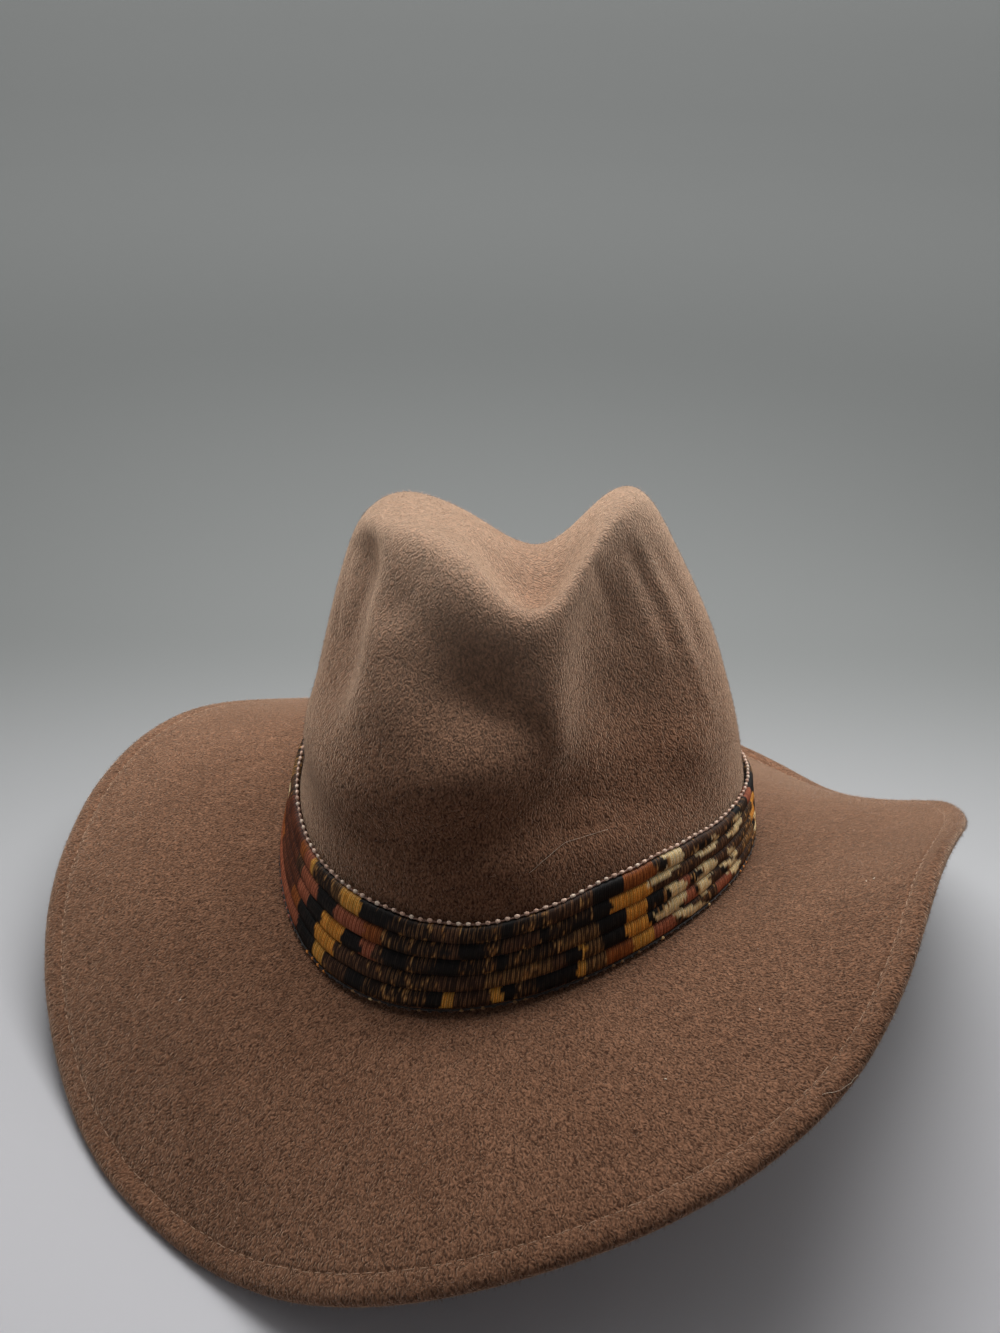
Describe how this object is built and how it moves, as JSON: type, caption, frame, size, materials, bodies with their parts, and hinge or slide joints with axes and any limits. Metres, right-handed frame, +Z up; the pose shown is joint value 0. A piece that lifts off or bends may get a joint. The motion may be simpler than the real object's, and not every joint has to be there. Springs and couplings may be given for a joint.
{
  "type": "wool felt cowboy hat",
  "caption": "Wide-brimmed felt hat with a pinched, centre-creased crown, a wavy brim with a turned-under edge, and a ribbed woven band between two looped edgings.",
  "frame": {"origin": "on the resting surface, under the middle of the hat's outline box", "axes": "+Z up, -Y the front of the hat, +X the side whose brim curls up"},
  "size_m": [0.3332, 0.3622, 0.1846],
  "materials": {
    "felt": "mid-brown wool felt with a short fuzzy nap",
    "band": "ribbed woven tapestry in rust, black, gold and cream",
    "pale_edging": "pinkish-cream looped braid",
    "dark_edging": "dark looped braid with gold and cream flecks"
  },
  "bodies": {
    "root": {"felt_body": "felt", "hat_band": "band", "upper_edging": "pale_edging", "lower_edging": "dark_edging"}
  },
  "joints": []
}
